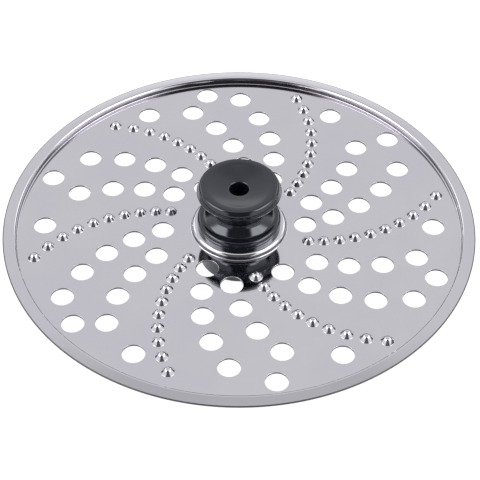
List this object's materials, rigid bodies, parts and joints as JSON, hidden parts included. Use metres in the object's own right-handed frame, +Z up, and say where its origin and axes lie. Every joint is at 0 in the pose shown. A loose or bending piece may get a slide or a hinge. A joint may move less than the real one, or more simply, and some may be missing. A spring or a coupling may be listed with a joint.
{
  "type": "grating disc",
  "caption": "Round food processor disc of polished sheet steel with curved rows of pressed nubs and punched holes, a raised rim and a black spool-shaped plastic hub.",
  "frame": {"origin": "centre of the hub's foot, on the spin axis", "axes": "+Z up the spin axis from the foot to the knob, -Y towards the picture's camera"},
  "size_m": [0.127, 0.127, 0.0259],
  "materials": {
    "polished_steel": "mirror polished",
    "black_plastic": "satin gloss"
  },
  "bodies": {
    "root": {"grating_disc": "polished_steel", "hub": "black_plastic"}
  },
  "joints": []
}
